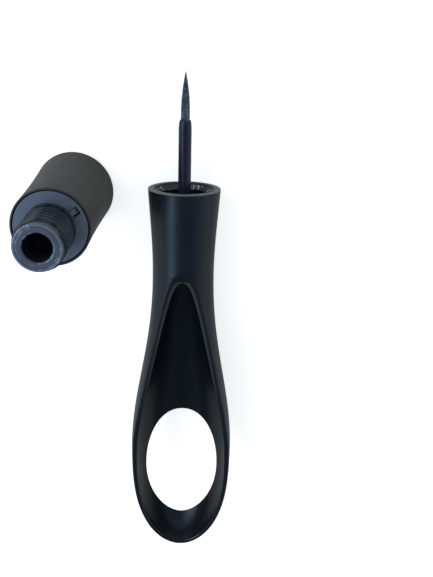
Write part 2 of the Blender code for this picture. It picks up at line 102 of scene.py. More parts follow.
def smooth_table(rows, value):
    """A smooth curve through the rows of a table, without overshoot."""
    knots, heights = np.array(rows, dtype=float).T
    slopes = np.diff(heights) / np.diff(knots)
    tangents = np.concatenate([slopes[:1], (slopes[1:] + slopes[:-1]) / 2, slopes[-1:]])
    place = np.clip(np.searchsorted(knots, value, side="right") - 1, 0, len(slopes) - 1)
    gap = np.diff(knots)[place]
    share = (value - knots[place]) / gap
    rise = heights[place + 1] - heights[place]
    first, last = tangents[place] * gap, tangents[place + 1] * gap
    return heights[place] + share * first + share ** 2 * (3 * rise - 2 * first - last) + (
        share ** 3 * (first + last - 2 * rise))


def scoop_angle(along):
    """Half angle that the scoop opens at the front."""
    share = np.clip((along - SCOOP_FROM) / (HANDLE_LENGTH - SCOOP_FROM), 0, 1)
    return np.arccos(np.clip(smooth_table(SCOOP_RIM, share ** SCOOP_POWER), 0, 1))


def ring_angle(along):
    """Half angle that the finger hole opens at the back, as an egg of two half ovals."""
    mouthward = along < RING_WIDEST
    reach = np.where(mouthward, RING_WIDEST - RING_FROM, RING_TO - RING_WIDEST)
    power = np.where(mouthward, *RING_POWERS)
    share = np.clip(np.abs(along - RING_WIDEST) / reach, 0, 1)
    width = RING_HALF_WIDTH * (1 - share ** power) ** (1 / power)
    return np.arcsin(width / np.maximum(handle_radius(along), width + 0.1 * MM))


def lying_slope():
    """Slope of the cap's axis when its mouth and its belly both touch the table."""
    along = np.linspace(WAIST_AT, HANDLE_LENGTH, 400)
    rise = handle_radius(along) - handle_radius(MOUTH_LIP)
    return math.atan(np.max(rise / (along - MOUTH_LIP)))


SLOPE = lying_slope()
CAP_HEIGHT = handle_radius(MOUTH_LIP) * math.cos(SLOPE) + MOUTH_LIP * math.sin(SLOPE)
CAP_MOUTH = np.array([CAP_ACROSS, CAP_ALONG, float(CAP_HEIGHT)])
CAP_TIPWARD = np.array([0, -math.cos(SLOPE), math.sin(SLOPE)])
CAP_FRONT = np.array([0, math.sin(SLOPE), math.cos(SLOPE)])


def in_cap(across, front, along):
    """Points of the cap from their distances across, to its front and from its mouth."""
    return (CAP_MOUTH + np.asarray(across)[..., None] * np.array([1, 0, 0])
            + np.asarray(front)[..., None] * CAP_FRONT
            + np.asarray(along)[..., None] * CAP_TIPWARD)


def on_cap(radius, angle, along):
    """Points of the cap from radius, angle from its front and distance from its mouth."""
    return in_cap(radius * np.sin(angle), radius * np.cos(angle), along)


def spread(start, end, count, power=1.0, crowd_end=False):
    """Places after start up to end; a power over 1 crowds them at the start, or at the end."""
    share = np.arange(1, count + 1) / count
    share = 1 - (1 - share) ** power if crowd_end else share ** power
    return start + (end - start) * share


def grid_faces(rows, columns, first=0, closed=False):
    """Quads between the neighbours in a grid of points."""
    index = first + np.arange(rows * columns).reshape(rows, columns)
    if closed:
        index = np.concatenate([index, index[:, :1]], axis=1)
    corners = (index[:-1, :-1], index[1:, :-1], index[1:, 1:], index[:-1, 1:])
    return np.stack(corners, axis=-1).reshape(-1, 4).tolist()


def new_object(name, data):
    """An object of the scene, from its mesh, light or camera."""
    made = bpy.data.objects.new(name, data)
    bpy.context.scene.collection.objects.link(made)
    return made


def piece_from(name, points, faces, values=None, smooth=True):
    """A closed mesh from grids of points, with shared edges merged, facing outward.

    values gives a number for each point, under the names that the material reads.
    """
    mesh = bpy.data.meshes.new(name)
    mesh.from_pydata(points.tolist(), [], faces)
    for key, numbers in (values or {}).items():
        mesh.attributes.new(key, "FLOAT", "POINT").data.foreach_set("value", numbers)
    bm = bmesh.new()
    bm.from_mesh(mesh)
    bmesh.ops.remove_doubles(bm, verts=bm.verts, dist=MERGE)
    bmesh.ops.recalc_face_normals(bm, faces=bm.faces)
    bm.to_mesh(mesh)
    bm.free()
    if smooth:
        mesh.shade_smooth()
    return new_object(name, mesh)


def distance_to_edge(points, edge):
    """Shortest distance of each point to a chain of short straight pieces."""
    start, span = edge[:-1], np.diff(edge, axis=0)
    length = np.maximum((span ** 2).sum(axis=1), MM ** 4)
    nearest = np.empty(points.shape[:2])
    for row, line in enumerate(points):
        offset = line[:, None] - start
        share = np.clip((offset * span).sum(axis=2) / length, 0, 1)
        gap = offset - share[..., None] * span
        nearest[row] = np.sqrt((gap ** 2).sum(axis=2).min(axis=1))
    return nearest


def rounding(distance, reach, power=ROUND_POWER):
    """Share of the full half wall at a distance from an edge, so that the edge is rounded."""
    share = np.clip(distance / reach, 0, 1)
    return (1 - (1 - share) ** power) ** (1 / power)


def soft_rise(distance, width=1.0):
    """A soft rise from 0 to 1 over a width."""
    share = np.clip(distance / width, 0, 1)
    return share ** 2 * (3 - 2 * share)


def outline_normals(along):
    """Outward normal of the handle's outline, as its radial and lengthwise parts."""
    dome = spread(BELLY_AT, HANDLE_LENGTH, OUTLINE_STEPS, 3, True)
    fine = np.concatenate([[0], spread(0, BELLY_AT, OUTLINE_STEPS), dome])
    step_along, step_radius = np.gradient(fine), np.gradient(handle_radius(fine))
    turn = np.arctan2(-step_radius, step_along)
    tilt = np.interp(along, fine, turn)
    return np.cos(tilt), np.sin(tilt)


def scoop_cut(along):
    """The scoop's face through the wall: how deep it goes in front, and how fast it narrows.

    The squared sine of the opening's half angle falls evenly through the wall, from the
    outer skin to the inner one. It falls fastest at the apex, so the face leans there and
    ends on the centre line inside the wall. Just before the apex the depth rises softly.
    """
    angle = scoop_angle(along)
    inner = np.maximum(handle_radius(along) - handle_wall(along), SHELL_WALL)
    fall = np.maximum((SCOOP_BEVEL / inner) ** 2 * np.cos(angle) ** 3, 0.0001)
    depth = np.where(along > SCOOP_FROM, np.sin(angle) ** 2 / fall,
                     CUT_SLOPE * (along - SCOOP_FROM))
    soft = (np.clip(depth, -CUT_SOFTNESS, CUT_SOFTNESS) + CUT_SOFTNESS) ** 2 / CUT_SOFTNESS / 4
    return np.where(depth > CUT_SOFTNESS, depth, soft), fall


def handle_stations(through):
    """Distances from the mouth, crowded at the lip, the scoop's apex, the finger hole and the tip.

    Each stretch has its end, its number of stations, the power of its spacing, and whether
    they crowd at its end.
    """
    stretches = (
        (LIP_ZONE, 10, 1.6), (APEX_ZONE[0], 24), (through, 36), (APEX_ZONE[1], 20, 2),
        (RING_ZONE[0], 56), (RING_FROM, 12, 2, True), (RING_ZONE[1], 16, 2),
        (RING_ZONE[2], 44), (RING_TO, 16, 2, True), (RING_ZONE[3], 10, 1.6),
        (HANDLE_LENGTH, 26, 2, True))
    along, start = [[0]], 0
    for end, *spacing in stretches:
        along.append(spread(start, end, *spacing))
        start = end
    return np.concatenate(along)


def make_ring_handle():
    """The shell as two skins that meet along the rims of the scoop, hole and mouth.

    Both are grids of stations and columns between the scoop and the finger hole. A point's
    depth in the wall is 0 on the outer skin and 1 on the inner one. Near a rim the depths
    come together by how far the point is from that rim, so that the rim is rounded. The
    outer skin takes in the scoop's whole face, down to the crisp edge inside.
    """
    fine = np.linspace(SCOOP_FROM, BELLY_AT, CUT_STEPS)
    through = fine[np.argmax(scoop_cut(fine)[0] >= 1)]
    along = handle_stations(through)
    radial, lengthwise = outline_normals(along)
    radial[-1], lengthwise[-1] = 0, 1
    wall, outer_radius = handle_wall(along), handle_radius(along)
    outer_radius[-1] = 0
    depth, fall = scoop_cut(along)
    opened = along > through + TINY
    depth = np.where(opened, np.maximum(depth, 1), np.minimum(depth, 1))[:, None]
    inside = (along > RING_FROM + TINY) & (along < RING_TO - TINY)
    back = (math.pi - ring_angle(along) * inside)[:, None]

    def front(share):
        """Half angle of the scoop at a depth in the wall."""
        return np.arcsin(np.sqrt(np.clip((depth - share) * fall[:, None], 0, 1)))

    arc = np.maximum(outer_radius[:, None] * (back - front(0.5)), 10 * TINY)
    zone = np.minimum(RIM_ZONE, arc / 4)
    near = zone * (np.arange(RIM_COLUMNS) / RIM_COLUMNS) ** RIM_CROWDING
    middle = zone + (arc - 2 * zone) * np.linspace(0, 1, WALL_COLUMNS + 1)
    across = np.concatenate([near, middle, arc - near[:, ::-1]], axis=1) / arc

    def skin(share):
        """The surface at a depth in the wall, given point by point."""
        start = front(share)
        angle = start + (back - start) * across
        inward = wall[:, None] * share
        radius = np.maximum(outer_radius[:, None] - radial[:, None] * inward, 0)
        return on_cap(radius, angle, along[:, None] - lengthwise[:, None] * inward)

    # How far each point is from the rim of the scoop, of the finger hole and of the mouth.
    half = skin(np.full(across.shape, 0.5))
    cut_rows = along > SCOOP_FROM - CUT_SOFTNESS / CUT_SLOPE
    ring_rows = (along >= RING_FROM) & (along <= RING_TO)
    scoop_gap = distance_to_edge(half, half[cut_rows, 0])
    ring_gap = distance_to_edge(half, half[ring_rows, -1])
    scoop_gap[cut_rows, 0] = ring_gap[ring_rows, -1] = 0
    scoop_gap[-1] = 0
    mouth_gap = np.broadcast_to(along[:, None], ring_gap.shape)

    # The depths of both skins. The scoop's inner corner is softer towards the tip.
    tipward = soft_rise(along - BELLY_AT, RING_TO - BELLY_AT)[:, None]
    corner = INNER_CORNER * soft_rise(along - through, MM)[:, None] + TIP_CORNER * tipward
    meet = np.clip(depth, 0, 1) - corner
    outer = np.maximum.reduce([
        meet * (1 - rounding(scoop_gap, OUTER_ROUNDING, CRISP_POWER)),
        0.5 - 0.5 * rounding(ring_gap, RING_ROUNDING),
        0.5 - 0.5 * rounding(mouth_gap, MOUTH_OUTER_ROUNDING, CRISP_POWER)])
    softer = INNER_ROUNDING + TIP_ROUNDING * tipward
    inner = np.minimum.reduce([
        np.where(opened[:, None], meet + (1 - meet) * rounding(scoop_gap, softer), 1),
        0.5 + 0.5 * rounding(ring_gap, INNER_ROUNDING),
        0.5 + 0.5 * rounding(mouth_gap, MOUTH_INNER_ROUNDING)])

    # Marks for the material: a painted highlight along the scoop's edge up to the belly, a painted
    # reflection on the mouth's lip, brightest at its sides, painted shade over the inside, and the
    # tip's rim, which fingers polish.
    rim_gap = np.where(along[:, None] > through - LIP_REACH, scoop_gap, MM)
    # Painted highlight: a lighter line along the scoop's edge, fading out towards the belly.
    edge = np.clip(1 - rim_gap / EDGE_REACH, 0, 1) * soft_rise(
        BELLY_AT - along, BELLY_AT - SCOOP_FROM)[:, None]
    facing = np.cos(front(0) + (back - front(0)) * across)
    # Painted reflection on the lip: strongest at the sides, weaker at the front and back.
    glinting = 1 - 0.6 * soft_rise(-0.3 - 1.2 * facing) - 0.25 * soft_rise(1.2 * facing - 0.3)
    lip = soft_rise(LIP_REACH - mouth_gap, LIP_FADE) * glinting
    polished = soft_rise(2 - 2 * scoop_gap / RIM_ZONE) * tipward
    points, faces, marks = [], [], []
    for mirror in (1, -1):
        for share in (outer, inner):
            faces += grid_faces(*across.shape, first=across.size * len(points))
            offset = skin(share) - CAP_MOUTH
            points.append((CAP_MOUTH + offset * np.array([mirror, 1, 1])).reshape(-1, 3))
            # Painted shade: the inner skin is darker, except near the mouth.
            inner_shade = soft_rise(2 * share) * soft_rise(mouth_gap / (3 * MM) - 0.4)
            marks.append([part.ravel() for part in (edge, lip, inner_shade, polished)])
    values = dict(zip(("edge", "lip", "inner_shade", "polished"), np.concatenate(marks, axis=1)))
    return piece_from("ring_handle_shell", np.concatenate(points), faces, values)


def new_material(name):
    """A new material, with its node tree and its shader."""
    material = bpy.data.materials.new(name)
    material.use_nodes = True
    return material, material.node_tree, material.node_tree.nodes["Principled BSDF"]


def feed(node, inputs):
    """Give a node's inputs, by name or number, a plain value or another node's output."""
    for key, value in inputs.items():
        if isinstance(value, bpy.types.NodeSocket):
            node.id_data.links.new(value, node.inputs[key])
        else:
            node.inputs[key].default_value = value


def add(tree, kind, inputs=None, **settings):
    """A new node with its inputs and its properties."""
    node = tree.nodes.new(kind)
    feed(node, inputs or {})
    for key, value in settings.items():
        setattr(node, key, value)
    return node


def place_in(tree, system="Object"):
    """Where each point lies in its object, or in another system of coordinates."""
    return tree.nodes.new("ShaderNodeTexCoord").outputs[system]


def stored(tree, key):
    """The number that the mesh holds for each point under this name."""
    return add(tree, "ShaderNodeAttribute", attribute_name=key).outputs["Fac"]


def noise(tree, place, scale, detail, roughness=0.5):
    """Noise between 0 and 1."""
    return add(tree, "ShaderNodeTexNoise", {
        "Vector": place, "Scale": scale, "Detail": detail,
        "Roughness": roughness}).outputs["Fac"]


def ranged(tree, value, low, high, start=0.0, end=1.0):
    """A number that goes from start to end while the value goes from low to high."""
    return add(tree, "ShaderNodeMapRange", {
        "Value": value, "From Min": low, "From Max": high,
        "To Min": start, "To Max": end}).outputs["Result"]


def reckoned(tree, operation, first, second):
    """Two numbers multiplied, or the higher of the two, as the operation says."""
    return add(tree, "ShaderNodeMath", {0: first, 1: second}, operation=operation).outputs[0]


def mix_colour(tree, factor, first, second):
    """The colour between two others, each a socket or three numbers."""
    shades = [shade if isinstance(shade, bpy.types.NodeSocket) else (*shade, 1)
              for shade in (first, second)]
    node = add(tree, "ShaderNodeMix", data_type="RGBA")
    feed(node, {0: factor, 6: shades[0], 7: shades[1]})
    return node.outputs[2]


def moulded_group():
    """The effects that all moulded plastic here shares, as masks and a normal.

    Noise at three sizes gives cloudy tone, mould grain and dust; streaks run along the flow
    of the plastic; and the grain and streaks also shape the surface.
    """
    group = bpy.data.node_groups.new("moulded_plastic", "ShaderNodeTree")
    for name in ("Grain", "Streak"):
        group.interface.new_socket(name, in_out="INPUT", socket_type="NodeSocketFloat")
    group.interface.new_socket("Flow", in_out="INPUT", socket_type="NodeSocketVector")
    for name in ("Cloud", "Streaks", "Dust"):
        group.interface.new_socket(name, in_out="OUTPUT", socket_type="NodeSocketFloat")
    group.interface.new_socket("Normal", in_out="OUTPUT", socket_type="NodeSocketVector")
    given = group.nodes.new("NodeGroupInput").outputs
    place = place_in(group)
    cloud = noise(group, place, 70.0, 3.0, 0.6)
    grain = noise(group, place, 5200.0, 2.0, 0.55)
    speck = add(group, "ShaderNodeTexVoronoi", {"Vector": place, "Scale": 420.0})
    near_speck = ranged(group, speck.outputs["Distance"], 0.035, 0.075, 1.0, 0.0)
    dust = reckoned(group, "MULTIPLY", near_speck, ranged(group, cloud, 0.52, 0.62))
    flow = add(group, "ShaderNodeVectorMath", {0: place, 1: given["Flow"]}, operation="MULTIPLY")
    streak = noise(group, flow.outputs[0], 1.0, 4.0, 0.7)
    grained = add(group, "ShaderNodeBump", {
        "Strength": given["Grain"], "Distance": 0.00003, "Height": grain})
    streaked = add(group, "ShaderNodeBump", {
        "Strength": given["Streak"], "Distance": 0.00004, "Height": streak,
        "Normal": grained.outputs["Normal"]})
    feed(group.nodes.new("NodeGroupOutput"), {
        "Cloud": cloud, "Streaks": streak, "Dust": dust, "Normal": streaked.outputs["Normal"]})
    return group


MOULDED = moulded_group()
DUST_COLOUR = (0.22, 0.22, 0.22)


def moulded_plastic(name, dark, light, roughness, grain, streak, flow, dust, specular,
                    coat=0.0, shade_and_glint_marks=(), wet=None):
    """Moulded plastic between two close colours, with cloudy tone, grain, dust, ink and painted
    light.

    The marks given are places on the mesh, each with its colour and strength: painted shade,
    painted highlights, glints and reflections, and ink. wet names the place that is shinier
    than the rest, with its roughness.
    """
    material, tree, shader = new_material(name)
    effects = add(tree, "ShaderNodeGroup", node_tree=MOULDED)
    feed(effects, {"Grain": grain, "Streak": streak, "Flow": flow})
    streaks = effects.outputs["Streaks"]
    tone = ranged(tree, effects.outputs["Cloud"], 0.3, 0.7)
    colour = mix_colour(tree, tone, dark, light)
    for key, shade, strength in shade_and_glint_marks:
        patchy = ranged(tree, streaks, 0.3, 0.6, strength * 0.6, strength)
        share = reckoned(tree, "MULTIPLY", stored(tree, key), patchy)
        colour = mix_colour(tree, share, colour, shade)
    speck = reckoned(tree, "MULTIPLY", effects.outputs["Dust"], dust)
    colour = mix_colour(tree, speck, colour, DUST_COLOUR)
    gloss = ranged(tree, streaks, 0.25, 0.75, roughness * 0.88, roughness * 1.14)
    if wet:
        gloss = ranged(tree, stored(tree, wet[0]), 0.0, 1.0, gloss, wet[1])
    feed(shader, {
        "Base Color": colour, "Roughness": gloss, "Normal": effects.outputs["Normal"],
        "Specular IOR Level": specular, "Coat Weight": coat, "Coat Roughness": 0.12})
    return material


def mark(piece, key, measure):
    """Store a number on each point of a mesh, worked out from its coordinates by a formula."""
    places = np.empty(len(piece.data.vertices) * 3)
    piece.data.vertices.foreach_get("co", places)
    values = measure(*places.reshape(-1, 3).T)
    piece.data.attributes.new(key, "FLOAT", "POINT").data.foreach_set("value", values)


def finish(piece, material, body, node):
    """Give a piece its material, the node it replaces and its body."""
    piece.data.materials.append(material)
    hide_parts(node)
    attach(piece, body)


# The handle is painted darker inside as shade, with a painted highlight along the scoop's edge and
# a light grey painted reflection on the mouth's lip.
handle_black = moulded_plastic(
    "handle_black", (0.006, 0.0075, 0.0105), (0.009, 0.011, 0.0155), 0.33,
    grain=0.3, streak=0.2, flow=(700.0, 40.0, 700.0), dust=0.25, specular=0.35,
    shade_and_glint_marks=(("inner_shade", (0.003, 0.004, 0.0055), 0.65), ("edge", (0.062, 0.067, 0.070), 0.75),
          ("lip", (0.25, 0.25, 0.24), 0.95)), wet=("polished", 0.12))
finish(make_ring_handle(), handle_black, "applicator", "ring_handle")

# ---- thread liner ----
# A separate glossy cup pressed into the cap's mouth, a little below its rim. Its bore has
# the thread that runs on the bottle's neck, and its closed end holds the stem. The bore
# opens as a funnel, and the neck's edge has crumpled the funnel in places.
CLEARANCE = 0.25 * MM
THREAD_PITCH, THREAD_DEPTH, THREAD_TURNS, THREAD_FADE = 1.8 * MM, 0.5 * MM, 5.0, 0.15
THREAD_ROOT, THREAD_CREST = 1.1 * MM, 0.4 * MM
NECK_RADIUS = 5.15 * MM
LINER_BORE = NECK_RADIUS + THREAD_DEPTH + CLEARANCE
LINER_RECESS, LINER_LEAD_IN, LINER_END, LINER_FIT = 0.35 * MM, 2.45 * MM, 1.5 * MM, 0.03 * MM
LINER_TURN_STEPS, BORE_STEP = 144, 0.11 * MM
FUNNEL_LENGTH, FUNNEL_EDGE = 1.0 * MM, 0.2 * MM
SCUFFS, SCUFF_HEIGHT = np.radians([(138, 168), (236, 244), (106, 113)]), 0.15 * MM
SCUFF_STEP, SCUFF_FADE = math.radians(0.6), 0.04
STEM_RADIUS = 1.55 * MM
STEM_HOLE = STEM_RADIUS + CLEARANCE


def rounded(corners, steps=5, closed=True):
    """A profile of (radius, height, trim) corners, each rounded over its trim length."""
    places = np.array([corner[:2] for corner in corners], dtype=float)
    count = len(corners)
    points = []
    for i, (radius, height, trim) in enumerate(corners):
        if trim == 0 or (not closed and i in (0, count - 1)):
            points.append(places[i])
            continue
        before = places[i - 1] - places[i]
        after = places[(i + 1) % count] - places[i]
        start = places[i] + before * min(trim / np.hypot(*before), 0.5)
        end = places[i] + after * min(trim / np.hypot(*after), 0.5)
        for share in np.linspace(0, 1, steps + 1):
            points.append((1 - share) ** 2 * start + 2 * share * (1 - share) * places[i]
                          + share ** 2 * end)
    return np.array(points)


def refined(profile, step, low, high, closed=True):
    """The profile with extra points where its height is between low and high."""
    points = []
    following = np.roll(profile, -1, axis=0) if closed else profile[1:]
    for first, second in zip(profile, following):
        count = 1
        if low <= min(first[1], second[1]) and max(first[1], second[1]) <= high:
            count = max(1, int(np.hypot(*(second - first)) / step))
        points += [first + (second - first) * i / count for i in range(count)]
    if not closed:
        points.append(profile[-1])
    return np.array(points)


def thread_ridge(angle, height, first):
    """How far a helical ridge stands out at an angle and height.

    The ridge climbs one pitch a turn. Its height comes from how far the point is from the
    nearest turn, as a rounded trapezoid, and fades where the thread starts and ends.
    """
    turned_share = angle / TURN % 1
    phase = (height - first) / THREAD_PITCH - turned_share
    nearest = np.round(phase)
    winding = nearest + turned_share
    gap = np.abs(phase - nearest) * THREAD_PITCH
    rise = soft_rise(THREAD_ROOT / 2 - gap, THREAD_ROOT / 2 - THREAD_CREST / 2)
    return THREAD_DEPTH * rise * soft_rise(winding, THREAD_FADE) * soft_rise(
        THREAD_TURNS - winding, THREAD_FADE)


def even_turn(count):
    """Evenly spaced angles of one whole turn."""
    return np.arange(count) * TURN / count


def joined_turn(*angles):
    """The angles of one turn from several lists, each angle once."""
    return np.unique(np.round(np.concatenate(angles) % TURN, 5))


def turned_grid(profile, angles, shape=None, place=None):
    """Points of a profile turned about an axis; shape may change radius and height."""
    radius, angle = np.meshgrid(profile[:, 0], angles, indexing="ij")
    height = np.broadcast_to(profile[:, 1:2], radius.shape)
    if shape:
        radius, height = shape(radius, height, angle)
    if place:
        return place(radius, angle, height)
    return np.stack([radius * np.cos(angle), radius * np.sin(angle), height], axis=-1)


def turned_piece(name, profile, angles, shape=None, place=None, closed=True):
    """A solid turned from a profile: a closed one makes a ring, an open one ends on the axis."""
    if closed:
        profile = np.concatenate([profile, profile[:1]])
    grid = turned_grid(profile, angles, shape, place)
    return piece_from(name, grid.reshape(-1, 3), grid_faces(*grid.shape[:2], closed=True))


def scuff(angle, along):
    """Crumpled plastic on the funnel, where the neck keeps striking it.

    Three crossing waves with bent crests, so that they make no pattern, faded out at the
    ends of each scuffed arc and at the funnel's top and bottom.
    """
    waves = (np.sin(83 * angle + along / (0.19 * MM) + 2.5 * np.sin(29 * angle))
             + np.sin(57 * angle - along / (0.13 * MM) + 2 * np.sin(along / (0.21 * MM) + 2))
             + np.sin(31 * angle + along / (0.37 * MM) + 1)) / 2
    arc = sum(soft_rise(angle - start, SCUFF_FADE) * soft_rise(end - angle, SCUFF_FADE)
              for start, end in SCUFFS)
    depth = (along - LINER_RECESS) / FUNNEL_LENGTH
    return waves * arc * soft_rise(depth, 0.15) * soft_rise(1.1 - depth, 0.2)


def make_liner():
    """The liner's cup, with the ridge and the scuffs taken off the radius inside."""
    floor = LINER_DEPTH + LINER_END
    wide = handle_radius(LINER_RECESS) - handle_wall(LINER_RECESS) - LINER_FIT
    narrow = handle_radius(floor) - handle_wall(floor) - CLEARANCE
    profile = rounded([
        (wide, LINER_RECESS, 0.35 * MM), (narrow, floor, 0.3 * MM), (STEM_HOLE, floor, 0.1 * MM),
        (STEM_HOLE, LINER_DEPTH, 0.15 * MM), (LINER_BORE, LINER_DEPTH, 0.4 * MM),
        (LINER_BORE, LINER_RECESS + FUNNEL_LENGTH, 0.3 * MM),
        (wide - FUNNEL_EDGE, LINER_RECESS, 0.1 * MM)])
    profile = refined(profile, BORE_STEP, LINER_RECESS + 0.02 * MM, LINER_DEPTH - 0.2 * MM)
    dense = [np.arange(start, end, SCUFF_STEP) for start, end in SCUFFS]

    def shape(radius, height, angle):
        bore = np.abs(radius - LINER_BORE) < 0.05 * MM
        ridge = thread_ridge(angle, height, LINER_RECESS + LINER_LEAD_IN)
        funnel = radius < wide - FUNNEL_EDGE / 2
        return radius - ridge * bore - SCUFF_HEIGHT * funnel * scuff(angle, height), height

    angles = joined_turn(even_turn(LINER_TURN_STEPS), *dense)
    return turned_piece("thread_liner_cup", profile, angles, shape, on_cap)


def cap_measure(measure):
    """The measure as a function of x, y and z, from one of angle and distance along the cap."""
    def measured(x, y, z):
        offset = np.stack([x, y, z], axis=-1) - CAP_MOUTH
        return measure(np.arctan2(offset[:, 0], offset @ CAP_FRONT) % TURN, offset @ CAP_TIPWARD)
    return measured


# The liner is painted darker deep in its bore as shade, and bluish white on the crests of the
# crumpled funnel as glints.
liner_black = moulded_plastic(
    "liner_black", (0.006, 0.016, 0.026), (0.010, 0.024, 0.036), 0.16,
    grain=0.1, streak=0.6, flow=(500.0, 500.0, 500.0), dust=0.3, specular=0.35, coat=0.4,
    shade_and_glint_marks=(("deep", (0.004, 0.006, 0.010), 1.0), ("scuff_glint", (0.80, 0.90, 1.0), 1.0)))
liner_cup = make_liner()
# Painted shade, beyond the funnel.
mark(liner_cup, "deep", cap_measure(
    lambda angle, along: soft_rise(along - LINER_RECESS - 0.8 * FUNNEL_LENGTH, 0.5 * MM)))
# Painted glints on the crests of the crumpled funnel.
mark(liner_cup, "scuff_glint", cap_measure(
    lambda angle, along: soft_rise(4 * scuff(angle, along) - 1.2)))
finish(liner_cup, liner_black, "applicator", "thread_liner")

# ---- brush stem ----
# A plain glossy rod. Its head sits behind the liner's end wall, and its far end draws in
# to a rounded shoulder with a socket for the brush.
STEM_REACH = 16.1 * MM
STEM_HEAD_AT = LINER_DEPTH + LINER_END + CLEARANCE
STEM_HEAD_RADIUS, STEM_HEAD_THICKNESS = 2.8 * MM, 1.2 * MM
SOCKET_RADIUS, SOCKET_DEPTH = 1.16 * MM, 1.7 * MM
NOSE_RADIUS, SHOULDER_RADIUS, SHOULDER_AT, STRAIGHT_AT = 1.2 * MM, 1.44 * MM, 0.35 * MM, 2 * MM


def make_stem():
    """The rod's profile, from the bottom of the socket round to the back of the head."""
    back = STEM_HEAD_AT + STEM_HEAD_THICKNESS
    profile = rounded([
        (0, SOCKET_DEPTH - STEM_REACH, 0), (SOCKET_RADIUS, SOCKET_DEPTH - STEM_REACH, 0),
        (SOCKET_RADIUS, -STEM_REACH, 0), (NOSE_RADIUS, -STEM_REACH, 0.02 * MM),
        (SHOULDER_RADIUS, SHOULDER_AT - STEM_REACH, 0.3 * MM),
        (STEM_RADIUS, STRAIGHT_AT - STEM_REACH, 0.8 * MM),
        (STEM_RADIUS, STEM_HEAD_AT, 0.1 * MM), (STEM_HEAD_RADIUS, STEM_HEAD_AT, 0.15 * MM),
        (STEM_HEAD_RADIUS, back, 0.3 * MM), (0, back, 0)], closed=False)
    return turned_piece("brush_stem_rod", profile, even_turn(64), place=on_cap, closed=False)


stem_black = moulded_plastic(
    "stem_black", (0.010, 0.014, 0.024), (0.016, 0.021, 0.034), 0.2,
    grain=0.05, streak=0.5, flow=(1500.0, 40.0, 1500.0), dust=0.2, specular=0.3, coat=0.2)
finish(make_stem(), stem_black, "applicator", "brush_stem")

# ---- brush tip ----
# A fine pointed brush of straight synthetic hairs, still dark from the ink, held in the
# stem's socket. The middle hairs are the longest, so that it draws to a point.
TUFT_RADIUS, TUFT_LENGTH, TUFT_BACKING = 1.08 * MM, 11.6 * MM, 0.5 * MM
TUFT_POWER, TUFT_GATHER, SEAT_GAP = 2.35, 0.04, 0.3 * MM
HAIRS, HAIR_RADIUS, HAIR_RINGS, HAIR_TAPER = 820, 0.036 * MM, 6, 0.97
HAIR_SHORTFALL, HAIR_STRAY = 0.035, 0.018 * MM
GOLDEN = math.pi * (3 - math.sqrt(5))
HAIR_DARK, HAIR_LIGHT, HAIR_CLUMP = (0.09, 0.12, 0.175), (0.29, 0.35, 0.47), (0.05, 0.065, 0.10)


def make_tuft():
    """Hairs on a sunflower pattern that draw together towards the tip, over a backing disc.

    The nearer the rim a hair stands, the shorter it is. Its height and how far it is drawn
    in depend on each other, so they are worked out in six rounds. Each hair is a thin
    three-sided spike; all of them are computed together as arrays.
    """
    number = np.arange(HAIRS)
    draw = np.random.default_rng(7)
    reach = np.sqrt((number + 0.5) / HAIRS) * (TUFT_RADIUS - HAIR_RADIUS)
    turn = number * GOLDEN
    tall = np.full(HAIRS, TUFT_LENGTH)
    for _ in range(6):
        drawn = 1 - TUFT_GATHER * tall / TUFT_LENGTH
        tall = TUFT_LENGTH * (1 - reach * drawn / TUFT_RADIUS) ** (1 / TUFT_POWER)
    rimward = np.minimum(2 * reach / TUFT_RADIUS, 1)
    tall = tall * (1 - draw.uniform(0, HAIR_SHORTFALL, HAIRS) * rimward)
    stray = draw.normal(0, HAIR_STRAY, (HAIRS, 2))
    tone = draw.uniform(0, 1, HAIRS)
    share = np.linspace(0, 1, HAIR_RINGS)[:, None]
    root = SOCKET_DEPTH - SEAT_GAP - TUFT_BACKING / 2
    height = -root + (tall + root) * share
    distance = reach * (1 - TUFT_GATHER * np.clip(height, 0, None) / TUFT_LENGTH)
    across = distance * np.cos(turn) + stray[:, 0] * share ** 2
    front = distance * np.sin(turn) + stray[:, 1] * share ** 2
    thick = (HAIR_RADIUS * np.sqrt(1 - HAIR_TAPER * share ** 4))[..., None]
    side = turn[:, None] + even_turn(3)
    hairs = in_cap(across[..., None] + thick * np.cos(side),
                   front[..., None] + thick * np.sin(side), -(height[..., None] + STEM_REACH))
    index = np.arange(HAIR_RINGS * HAIRS * 3).reshape(HAIR_RINGS, HAIRS, 3)
    following = np.roll(index, -1, axis=2)
    walls = np.stack([index[:-1], following[:-1], following[1:], index[1:]], axis=-1)
    faces = walls.reshape(-1, 4).tolist() + index[0][:, ::-1].tolist() + index[-1].tolist()
    near = root - STEM_REACH - TUFT_BACKING / 2
    far = near + TUFT_BACKING
    disc = in_cap(*np.moveaxis(turned_grid(np.array(
        [(0, near), (TUFT_RADIUS, near), (TUFT_RADIUS, far), (0, far)]), even_turn(32)), 2, 0))
    faces += grid_faces(*disc.shape[:2], first=index.size, closed=True)
    points = np.concatenate([hairs.reshape(-1, 3), disc.reshape(-1, 3)])
    values = {key: np.append(np.broadcast_to(numbers, index.shape), np.zeros(disc.size // 3))
              for key, numbers in (("tone", tone[:, None]), ("reach", share[..., None]))}
    return piece_from("brush_tip_hairs", points, faces, values, smooth=False)


def hair_material():
    """Dark slate hairs that differ a little in tone, wet and shiny near the root."""
    material, tree, shader = new_material("brush_hair")
    colour = mix_colour(tree, stored(tree, "tone"), HAIR_DARK, HAIR_LIGHT)
    clump = ranged(tree, noise(tree, place_in(tree), 1500.0, 2.0), 0.42, 0.6, 0.0, 0.85)
    feed(shader, {"Base Color": mix_colour(tree, clump, colour, HAIR_CLUMP),
                  "Roughness": ranged(tree, stored(tree, "reach"), 0.0, 1.0, 0.3, 0.5),
                  "Anisotropic": 0.5})
    return material


finish(make_tuft(), hair_material(), "applicator", "brush_tip")

